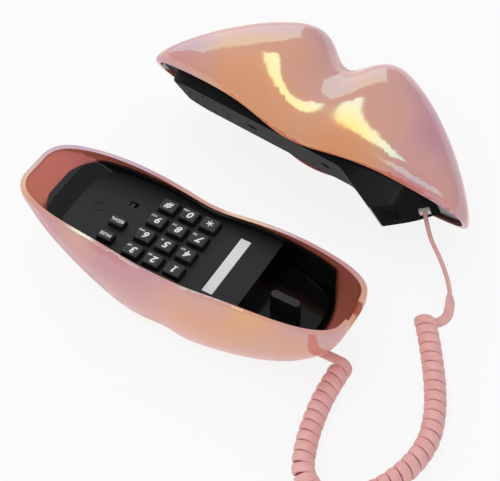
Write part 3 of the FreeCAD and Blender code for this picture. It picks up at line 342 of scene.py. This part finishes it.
def lip_skin(name, node, body, paint):
    grid = bmesh.new()
    grid.from_mesh(nodes[node].data)
    grid.transform(nodes[node].matrix_world)
    bmesh.ops.remove_doubles(grid, verts=grid.verts, dist=WELD)
    bmesh.ops.dissolve_degenerate(grid, edges=grid.edges, dist=WELD)
    for cut in range(CUT_ROUNDS):
        long_edges = [edge for edge in grid.edges if edge.calc_length() > LONGEST_EDGE]
        if not long_edges:
            break
        bmesh.ops.subdivide_edges(grid, edges=long_edges, cuts=1)
        bmesh.ops.triangulate(grid, faces=[face for face in grid.faces if len(face.verts) > 3])
    corners = [edge for edge in grid.edges if edge.calc_face_angle(0.0) > CORNER]
    bmesh.ops.split_edges(grid, edges=corners)
    bmesh.ops.delete(grid, geom=[dot for dot in grid.verts if not dot.link_faces], context="VERTS")
    skin = bpy.data.meshes.new(name)
    grid.to_mesh(skin)
    grid.free()
    skin.validate()

    # The coat mirrors the lamps, so each point's direction is evened with its neighbours' on the same wall.
    count = len(skin.vertices)
    facing = np.empty(3 * count)
    skin.vertices.foreach_get("normal", facing)
    facing = facing.reshape(-1, 3)
    ends = np.empty(2 * len(skin.edges), dtype=np.int32)
    skin.edges.foreach_get("vertices", ends)
    first, second = ends.reshape(-1, 2).T
    for evening in range(EVENING_ROUNDS):
        blank = np.linalg.norm(facing, axis=1) < 0.5
        alike = (facing[first] * facing[second]).sum(axis=1) > SAME_WALL
        alike = alike | blank[first] | blank[second]
        here = first[alike]
        there = second[alike]
        total = facing.copy()
        for axis_k in range(3):
            total[:, axis_k] += np.bincount(here, facing[there, axis_k], count)
            total[:, axis_k] += np.bincount(there, facing[here, axis_k], count)
        facing = total / np.maximum(np.linalg.norm(total, axis=1, keepdims=True), 1e-6)
    for polygon in skin.polygons:
        polygon.use_smooth = True
    skin.normals_split_custom_set_from_vertices(facing.tolist())
    skin.materials.clear()
    skin.materials.append(paint)
    piece = bpy.data.objects.new(name, skin)
    scene.collection.objects.link(piece)
    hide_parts(node)
    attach(piece, body)


lip_skin("base_skin", "base_shell", "base", pearl_paint("base_pearl", True))
lip_skin("handset_skin", "handset_shell", "handset", pearl_paint("handset_pearl", False))


# Faceplate: one black moulding, fine-grained satin on the key deck and polished in the hook well and up the liner;
# off the deck its colour is painted darker, as painted shade.
# It drops into the base shell, and three screws driven from below the base hold it down.
STEP_X = 0.0437   # the step from the key deck down to the hook well
DECK_LEVEL = 0.95
WELL_ROUGH = 0.14
DECK_BLACK = (0.011, 0.011, 0.0115, 1)
PAINTED_SHADE_BLACK = (0.003, 0.003, 0.003, 1)


def dress(name, material):
    data = nodes[name].data
    data.materials.clear()
    data.materials.append(material)


satin, satin_tree, satin_shader = new_material("satin_black", (0.009, 0.009, 0.0095), 0.5)
satin_shader.inputs["Specular IOR Level"].default_value = 0.3
satin_place = satin_tree.nodes.new("ShaderNodeTexCoord")
satin_split = tree_step(satin_tree, "ShaderNodeSeparateXYZ", (), [("Vector", satin_place.outputs["Object"])])
satin_turned = tree_step(satin_tree, "ShaderNodeSeparateXYZ", (), [("Vector", satin_place.outputs["Normal"])])
satin_left = tree_step(satin_tree, "ShaderNodeMath", {1: STEP_X}, [(0, satin_split.outputs["X"])],
                       operation="LESS_THAN")
satin_level = tree_step(satin_tree, "ShaderNodeMath", {1: DECK_LEVEL}, [(0, satin_turned.outputs["Z"])],
                        operation="GREATER_THAN")
satin_deck = tree_step(satin_tree, "ShaderNodeMath", (),
                       [(0, satin_left.outputs["Value"]), (1, satin_level.outputs["Value"])],
                       operation="MULTIPLY").outputs["Value"]
satin_grain = tree_step(satin_tree, "ShaderNodeGroup", {"Scale": 1400.0, "Low": 0.40, "High": 0.58},
                        node_tree=grain)
satin_finish = tree_step(satin_tree, "ShaderNodeMix", {2: WELL_ROUGH},
                         [(0, satin_deck), (3, satin_grain.outputs["Roughness"])])
# The hook well and every face that doesn't face straight up are painted near-black as painted shade; the upward
# deck keeps the moulding's own black.
satin_tone_and_shade = tree_step(satin_tree, "ShaderNodeMix", {6: PAINTED_SHADE_BLACK, 7: DECK_BLACK}, [(0, satin_deck)],
                       data_type="RGBA")
satin_strength = tree_step(satin_tree, "ShaderNodeMath", {1: 0.1}, [(0, satin_deck)], operation="MULTIPLY")
satin_raised = tree_step(satin_tree, "ShaderNodeBump", {"Distance": BUMP_DEEP},
                         [("Strength", satin_strength.outputs["Value"]),
                          ("Height", satin_grain.outputs["Height"])])
satin_tree.links.new(satin_finish.outputs[0], satin_shader.inputs["Roughness"])
satin_tree.links.new(satin_tone_and_shade.outputs[2], satin_shader.inputs["Base Color"])
satin_tree.links.new(satin_raised.outputs["Normal"], satin_shader.inputs["Normal"])
dress("faceplate", satin)


# Handset body: a black moulded hull with ear holes, mouthpiece slits and the cord socket, closed by the lip shell
# above it. It is glossy on the mouthpiece block, and duller along the hull and on the block's end face.
BLOCK_START = 0.050
BLOCK_FULL = 0.062
HULL_ROUGH = 0.62
BLOCK_ROUGH = 0.2
END_FACING = (0.55, -0.73, -0.41)
gloss, gloss_tree, gloss_shader = new_material("gloss_black", (0.006, 0.006, 0.0065), 0.3)
gloss_shader.inputs["Specular IOR Level"].default_value = 0.1
gloss_place = gloss_tree.nodes.new("ShaderNodeTexCoord")
gloss_split = tree_step(gloss_tree, "ShaderNodeSeparateXYZ", (), [("Vector", gloss_place.outputs["Object"])])
gloss_finish = tree_step(gloss_tree, "ShaderNodeMapRange",
                         {"From Min": BLOCK_START, "From Max": BLOCK_FULL,
                          "To Min": HULL_ROUGH, "To Max": BLOCK_ROUGH},
                         [("Value", gloss_split.outputs["X"])])
gloss_facing = tree_step(gloss_tree, "ShaderNodeVectorMath", {1: END_FACING},
                         [(0, gloss_place.outputs["Normal"])], operation="DOT_PRODUCT")
gloss_end = tree_step(gloss_tree, "ShaderNodeMapRange", {"From Min": 0.9, "From Max": 0.96, "To Max": 0.8},
                      [("Value", gloss_facing.outputs["Value"])])
gloss_sum = tree_step(gloss_tree, "ShaderNodeMath", (),
                      [(0, gloss_finish.outputs["Result"]), (1, gloss_end.outputs["Result"])], use_clamp=True)
gloss_tree.links.new(gloss_sum.outputs["Value"], gloss_shader.inputs["Roughness"])
dress("handset_body", gloss)


# Screws: plated steel pan heads with a cross recess, driven up from below. Three hold the faceplate to the base
# shell, two hold the handset body to its lip shell, and four small ones hold the board inside.
BASE_SHANK = 0.011
HANDSET_SHANK = 0.013
HANDSET_LIE = (("Z", -4), ("Y", 2.1), ("X", -60.7))   # how the handset is turned as it lies on the table
steel, steel_tree, steel_shader = new_material("plated_steel", (0.60, 0.60, 0.58), 0.3, 1.0)
add_grain(steel_tree, steel_shader, 1200.0, 0.22, 0.42, 0.05)
screw_tree = bpy.data.node_groups.new("cross_screws", "GeometryNodeTree")
screw_tree.interface.new_socket("Seats", in_out="INPUT", socket_type="NodeSocketGeometry")
screw_keys = {}
for socket_name, kind, usual in (
        ("Head Radius", "NodeSocketFloat", 0.0028), ("Head Height", "NodeSocketFloat", 0.0022),
        ("Shank Radius", "NodeSocketFloat", 0.0015), ("Shank Length", "NodeSocketFloat", BASE_SHANK),
        ("Recess Width", "NodeSocketFloat", 0.0007), ("Recess Depth", "NodeSocketFloat", 0.0012),
        ("Turn", "NodeSocketVector", (0, 0, 0)), ("Seed", "NodeSocketInt", 4)):
    made = screw_tree.interface.new_socket(socket_name, in_out="INPUT", socket_type=kind)
    made.default_value = usual
    screw_keys[socket_name] = made.identifier
screw_keys["Material"] = screw_tree.interface.new_socket(
    "Material", in_out="INPUT", socket_type="NodeSocketMaterial").identifier
screw_tree.interface.new_socket("Screws", in_out="OUTPUT", socket_type="NodeSocketGeometry")
size_of = screw_tree.nodes.new("NodeGroupInput").outputs
screw_out = screw_tree.nodes.new("NodeGroupOutput")
narrow = tree_step(screw_tree, "ShaderNodeMath", {1: 0.8}, [(0, size_of["Head Radius"])], operation="MULTIPLY")
head = tree_step(screw_tree, "GeometryNodeMeshCone", (),
                 [("Radius Bottom", narrow.outputs[0]), ("Radius Top", size_of["Head Radius"]),
                  ("Depth", size_of["Head Height"])])
bar_long = tree_step(screw_tree, "ShaderNodeMath", {1: 1.2}, [(0, size_of["Head Radius"])],
                     operation="MULTIPLY").outputs[0]
bar_deep = tree_step(screw_tree, "ShaderNodeMath", {1: 2.0}, [(0, size_of["Recess Depth"])],
                     operation="MULTIPLY").outputs[0]
bar_wide = size_of["Recess Width"]
bars = []
for bar_x, bar_y in ((bar_long, bar_wide), (bar_wide, bar_long)):
    extent = tree_step(screw_tree, "ShaderNodeCombineXYZ", (), [(0, bar_x), (1, bar_y), (2, bar_deep)])
    bars.append(tree_step(screw_tree, "GeometryNodeMeshCube", (), [("Size", extent.outputs[0])]))
recessed = tree_step(screw_tree, "GeometryNodeMeshBoolean", (),
                     [("Mesh 1", head.outputs["Mesh"]), ("Mesh 2", bars[0].outputs["Mesh"]),
                      ("Mesh 2", bars[1].outputs["Mesh"])], operation="DIFFERENCE")
shank = tree_step(screw_tree, "GeometryNodeMeshCylinder", (),
                  [("Radius", size_of["Shank Radius"]), ("Depth", size_of["Shank Length"])])
shank_mid = tree_step(screw_tree, "ShaderNodeMath", {1: 0.5},
                      [(0, size_of["Shank Length"]), (2, size_of["Head Height"])], operation="MULTIPLY_ADD")
shank_up = tree_step(screw_tree, "ShaderNodeCombineXYZ", (), [(2, shank_mid.outputs[0])])
shank_set = tree_step(screw_tree, "GeometryNodeTransform", (),
                      [("Geometry", shank.outputs["Mesh"]), ("Translation", shank_up.outputs[0])])
whole_screw = tree_step(screw_tree, "GeometryNodeJoinGeometry", (),
                        [("Geometry", recessed.outputs["Mesh"]), ("Geometry", shank_set.outputs["Geometry"])])
spin = tree_step(screw_tree, "FunctionNodeRandomValue", {2: 0.0, 3: 1.5708}, [("Seed", size_of["Seed"])],
                 data_type="FLOAT")
spun = tree_step(screw_tree, "FunctionNodeAxisAngleToRotation", {0: (0, 0, 1)}, [("Angle", spin.outputs[1])])
aimed = tree_step(screw_tree, "FunctionNodeEulerToRotation", (), [(0, size_of["Turn"])])
turned = tree_step(screw_tree, "FunctionNodeRotateRotation", (), [(0, aimed.outputs[0]), (1, spun.outputs[0])],
                   rotation_space="LOCAL")
placed = tree_step(screw_tree, "GeometryNodeInstanceOnPoints", (),
                   [("Points", size_of["Seats"]), ("Instance", whole_screw.outputs[0]),
                    ("Rotation", turned.outputs[0])])
realized = tree_step(screw_tree, "GeometryNodeRealizeInstances", (),
                     [("Geometry", placed.outputs["Instances"])])
coated = tree_step(screw_tree, "GeometryNodeSetMaterial", (),
                   [("Geometry", realized.outputs["Geometry"]), ("Material", size_of["Material"])])
screw_tree.links.new(coated.outputs["Geometry"], screw_out.inputs["Screws"])


def head_ends(name, along):
    grid = bmesh.new()
    grid.from_mesh(nodes[name].data)
    bmesh.ops.remove_doubles(grid, verts=grid.verts, dist=1e-6)
    left = set(grid.verts)
    ends = []
    while left:
        island = []
        waiting = [left.pop()]
        while waiting:
            dot = waiting.pop()
            island.append(nodes[name].matrix_world @ dot.co)
            for edge in dot.link_edges:
                other = edge.other_vert(dot)
                if other in left:
                    left.remove(other)
                    waiting.append(other)
        nearest = min(place.dot(along) for place in island)
        ring = [place for place in island if place.dot(along) < nearest + 1e-5]
        ends.append(sum(ring, Vector()) / len(ring))
    grid.free()
    return ends


def cross_screws(name, node, body, along, shank_long):
    seats = bpy.data.meshes.new("seats")
    seats.from_pydata(head_ends(node, along), [], [])
    holder = bpy.data.objects.new("seats", seats)
    scene.collection.objects.link(holder)
    maker = holder.modifiers.new("screws", "NODES")
    maker.node_group = screw_tree
    maker[screw_keys["Shank Length"]] = shank_long
    maker[screw_keys["Turn"]] = tuple(along.to_track_quat("Z", "Y").to_euler())
    maker[screw_keys["Material"]] = steel
    bpy.context.view_layer.update()
    mesh = bpy.data.meshes.new_from_object(holder.evaluated_get(bpy.context.evaluated_depsgraph_get()))
    bpy.data.objects.remove(holder)
    mesh.name = name
    piece = bpy.data.objects.new(name, mesh)
    scene.collection.objects.link(piece)
    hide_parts(node)
    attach(piece, body)


straight_up = Vector((0, 0, 1))
handset_turn = Matrix.Identity(3)
for about, degrees in HANDSET_LIE:
    handset_turn = handset_turn @ Matrix.Rotation(math.radians(degrees), 3, about)
cross_screws("base_cross_screws", "base_screws", "base", straight_up, BASE_SHANK)
cross_screws("handset_cross_screws", "handset_screws", "handset", handset_turn @ straight_up, HANDSET_SHANK)
dress("board_screws", steel)


# Keys: satin black moulded caps that stand in holes in the faceplate, each on its own rubber dome.
# White figures and small letter groups are printed on them, to be read from the far side of the base.
PRINT_LIFT = 0.00003
FIGURE_HIGH = 0.0047
FIGURE_DOWN = 0.0004
FIGURE_ASIDE = 0.0008
GROUP_HIGH = 0.0013
GROUP_ASIDE = 0.0030
GROUP_UP = 0.0018
WORD_HIGH = 0.0022
STAR_ARM = (0.0043, 0.0006)
ONE_STROKES = [
    (0.0001, 0, math.radians(76), 0.0046, 0.0010), (-0.0005, -0.0021, 0, 0.0026, 0.0005),
    (0.0, 0.0017, math.radians(30), 0.0016, 0.0006),
]
FIGURES = {
    "key_1": ("1", ""), "key_2": ("2", "ABC"), "key_3": ("3", "DEF"), "key_4": ("4", "GHI"),
    "key_5": ("5", "JKL"), "key_6": ("6", "MNO"), "key_7": ("7", "PRS"), "key_8": ("8", "TUV"),
    "key_9": ("9", "WXY"), "key_star": ("*", ""), "key_0": ("0", "OPER"), "key_hash": ("#", ""),
    "key_redial": ("", "REDIAL"), "key_pause": ("", "PAUSE"),
}
key_skin, key_tree, key_shader = new_material("key_black", (0.008, 0.008, 0.009), 0.4)
add_grain(key_tree, key_shader, 1100.0, 0.32, 0.48, 0.05)
print_white, print_tree, print_shader = new_material("print_white", (0.80, 0.80, 0.82), 0.6)
add_grain(print_tree, print_shader, 2500.0, 0.5, 0.7, 0.0)


def figure_mesh(words, high, wide_share, slant, heavy):
    curve = bpy.data.curves.new("figure", "FONT")
    curve.body = words
    curve.size = 1.0
    curve.shear = slant
    curve.offset = heavy
    curve.align_x = "CENTER"
    curve.resolution_u = 4
    holder = bpy.data.objects.new("figure", curve)
    scene.collection.objects.link(holder)
    bpy.context.view_layer.update()
    mesh = bpy.data.meshes.new_from_object(holder)
    bpy.data.objects.remove(holder)
    bpy.data.curves.remove(curve)
    tops = [vertex.co.y for vertex in mesh.vertices]
    sides = [vertex.co.x for vertex in mesh.vertices]
    middle = Vector(((max(sides) + min(sides)) / 2, (max(tops) + min(tops)) / 2, 0))
    size = high / (max(tops) - min(tops))
    mesh.transform(Matrix.Diagonal((size * wide_share, size, 1, 1)) @ Matrix.Translation(-middle))
    return mesh


def strokes_mesh(strokes):
    corners = []
    faces = []
    for layer, (x, y, turn, long, thick) in enumerate(strokes):
        along = Vector((math.cos(turn), math.sin(turn), 0)) * long / 2
        across = Vector((-math.sin(turn), math.cos(turn), 0)) * thick / 2
        middle = Vector((x, y, layer * PRINT_LIFT / 10))
        first = len(corners)
        corners += [middle + along + across, middle - along + across,
                    middle - along - across, middle + along - across]
        faces.append((first, first + 1, first + 2, first + 3))
    mesh = bpy.data.meshes.new("figure")
    mesh.from_pydata(corners, [], faces)
    return mesh


def printed(name, pieces, body):
    sheet = bmesh.new()
    for mesh, x, y, z in pieces:
        mesh.transform(Matrix.Translation((x, y, z)) @ Matrix.Rotation(math.pi, 4, "Z"))
        sheet.from_mesh(mesh)
        bpy.data.meshes.remove(mesh)
    whole = bpy.data.meshes.new(name)
    sheet.to_mesh(whole)
    sheet.free()
    whole.materials.append(print_white)
    piece = bpy.data.objects.new(name, whole)
    scene.collection.objects.link(piece)
    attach(piece, body)


for name, (figure, letters) in FIGURES.items():
    dress(name, key_skin)
    low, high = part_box(name)
    x = (low.x + high.x) / 2
    y = (low.y + high.y) / 2
    z = high.z + PRINT_LIFT
    pieces = []
    if figure == "*":
        arms = [(0, 0, math.pi / 2 + arm * math.pi / 3, *STAR_ARM) for arm in range(3)]
        pieces.append((strokes_mesh(arms), x, y, z))
    elif figure == "1":
        pieces.append((strokes_mesh(ONE_STROKES), x, y - FIGURE_DOWN, z))
    elif figure:
        aside = FIGURE_ASIDE if letters else 0
        pieces.append((figure_mesh(figure, FIGURE_HIGH, 1.05, 0.25, 0.035), x + aside, y - FIGURE_DOWN, z))
    if figure and letters:
        pieces.append((figure_mesh(letters, GROUP_HIGH, 0.9, 0.2, 0.02), x - GROUP_ASIDE, y + GROUP_UP, z))
    if not figure:
        pieces.append((figure_mesh(letters, WORD_HIGH, 0.85, 0.0, 0.02), x, y, z))
    printed(name + "_print", pieces, name + "_body")


# Keypad mat and hook spring: a grey silicone sheet with a dome under each key, and a coil of steel wire under the
# They lie loose under the faceplate; each dome and the spring is made a piece of its own, which on the real
# telephone gives way as its key or the hook is pressed.
SHEET_THICK = 1.0 * MM
silicone, silicone_tree, silicone_shader = new_material("grey_silicone", (0.35, 0.35, 0.34), 0.6)
add_grain(silicone_tree, silicone_shader, 500.0, 0.5, 0.7, 0.1)
mat_low, mat_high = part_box("keypad_mat")
sheet_top = mat_low.z + SHEET_THICK


def loose_piece(name, node, material, wanted):
    grid = bmesh.new()
    grid.from_mesh(nodes[node].data)
    bmesh.ops.remove_doubles(grid, verts=grid.verts, dist=WELD)
    bmesh.ops.delete(grid, geom=[face for face in grid.faces if not wanted(face)], context="FACES")
    data = bpy.data.meshes.new(name)
    grid.to_mesh(data)
    grid.free()
    data.materials.clear()
    data.materials.append(material)
    piece = bpy.data.objects.new(name, data)
    scene.collection.objects.link(piece)
    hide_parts(node)
    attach(piece, "base")
    return piece


def above_sheet(face):
    return max(dot.co.z for dot in face.verts) > sheet_top + 0.01 * MM


key_middles = {}
for name in nodes.keys():
    if name in FIGURES:
        low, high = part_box(name)
        key_middles[name] = ((low + high) / 2).xy


def key_over(face):
    middle = face.calc_center_median().xy
    return min(key_middles, key=lambda name: (key_middles[name] - middle).length)


loose_piece("mat_sheet", "keypad_mat", silicone, lambda face: not above_sheet(face))
for name in key_middles:
    dome = loose_piece(name + "_dome", "keypad_mat", silicone,
                       lambda face: above_sheet(face) and key_over(face) == name)
    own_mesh(dome)
spring_coil = loose_piece("spring_coil", "hook_spring", steel, lambda face: True)
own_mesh(spring_coil)


# Small pieces that keep their CAD shape: the paper card, the selector lever and the hook plunger in the faceplate,
# the rubber foot and the microphone's boot, the board and what sits on it, the sockets and the clear plugs.
# They are slid, pressed or soldered into place.
dress("selector_lever", key_skin)
dress("hook_plunger", key_skin)
dress("microphone", steel)
for finish, base, roughness, coarse, low, high, bump, pieces in (
        ("white_card", (0.78, 0.78, 0.79), 0.7, 900.0, 0.6, 0.8, 0.1, ["label_card"]),
        ("black_rubber", (0.02, 0.02, 0.02), 0.7, 700.0, 0.6, 0.85, 0.2, ["rubber_foot", "mic_boot"]),
        ("paper_board", (0.30, 0.19, 0.07), 0.55, 300.0, 0.45, 0.65, 0.1, ["main_board"]),
        ("inner_black", (0.03, 0.03, 0.03), 0.5, 900.0, 0.42, 0.6, 0.08,
         ["hook_switch", "selector_switch", "ringer", "line_jack", "base_jack", "receiver", "handset_jack"]),
        ("clear_plug", (0.62, 0.56, 0.53), 0.2, 300.0, 0.12, 0.28, 0.0, ["base_plug", "handset_plug"])):
    paint, paint_tree, paint_shader = new_material(finish, base, roughness)
    add_grain(paint_tree, paint_shader, coarse, low, high, bump)
    for name in pieces:
        dress(name, paint)


# Studio: a pale floor under the telephone, which the camera and the mirror-like coat see as nearly white,
# and three soft boxes, as in a catalogue picture.
FLOOR_HALF = 6
FLOOR_WHITE_SHARE = 0.85
floor_mesh = bpy.data.meshes.new("floor")
floor_mesh.from_pydata([(-FLOOR_HALF, -FLOOR_HALF, 0), (FLOOR_HALF, -FLOOR_HALF, 0),
                        (FLOOR_HALF, FLOOR_HALF, 0), (-FLOOR_HALF, FLOOR_HALF, 0)], [], [(0, 1, 2, 3)])
floor = bpy.data.objects.new("floor", floor_mesh)
scene.collection.objects.link(floor)
floor_paint, floor_tree, floor_shader = new_material("studio_floor", (0.9, 0.9, 0.9), 0.9)
floor_shader.inputs["Specular IOR Level"].default_value = 0.1
floor_glow = tree_step(floor_tree, "ShaderNodeEmission", {"Color": (1, 1, 1, 1), "Strength": 1.0})
floor_path = floor_tree.nodes.new("ShaderNodeLightPath")
floor_seen = tree_step(floor_tree, "ShaderNodeMath", (),
                       [(0, floor_path.outputs["Is Camera Ray"]), (1, floor_path.outputs["Is Glossy Ray"])],
                       operation="ADD", use_clamp=True)
floor_share = tree_step(floor_tree, "ShaderNodeMath", {1: FLOOR_WHITE_SHARE}, [(0, floor_seen.outputs["Value"])],
                        operation="MULTIPLY")
floor_mix = tree_step(floor_tree, "ShaderNodeMixShader", (),
                      [("Fac", floor_share.outputs["Value"]), (1, floor_shader.outputs["BSDF"]),
                       (2, floor_glow.outputs["Emission"])])
floor_tree.links.new(floor_mix.outputs["Shader"], floor_tree.nodes["Material Output"].inputs["Surface"])
floor_mesh.materials.append(floor_paint)

world = bpy.data.worlds.new("studio")
world.use_nodes = True
sky = world.node_tree.nodes["Background"]
sky.inputs["Color"].default_value = (0.9, 0.9, 0.92, 1)
sky.inputs["Strength"].default_value = 0.68
scene.world = world


def soft_box(name, place, target, wide, tall, turn, power, tint):
    lamp = bpy.data.lights.new(name, "AREA")
    lamp.shape = "RECTANGLE"
    lamp.size = wide
    lamp.size_y = tall
    lamp.energy = power
    lamp.color = tint
    holder = bpy.data.objects.new(name, lamp)
    holder.location = place
    aimed = (Vector(target) - Vector(place)).to_track_quat("-Z", "Y")
    holder.rotation_euler = (aimed @ Quaternion((0, 0, 1), turn)).to_euler()
    scene.collection.objects.link(holder)


soft_box("strip_box", place=(-0.19, -0.145, 0.95), target=(0.02, 0.115, 0.06), wide=0.19, tall=1.15,
         turn=math.radians(64), power=1.7, tint=(1.0, 0.98, 0.95))
soft_box("back_box", place=(-0.85, 0.77, 0.53), target=(0, 0.08, 0.05), wide=1.6, tall=1.05,
         turn=0.0, power=4.4, tint=(1.0, 0.98, 0.98))
soft_box("front_box", place=(0.35, -1.0, 0.5), target=(0, 0.0, 0.03), wide=1.0, tall=0.4,
         turn=0.0, power=1.2, tint=(1.0, 0.98, 0.96))

scene.view_settings.view_transform = "Standard"
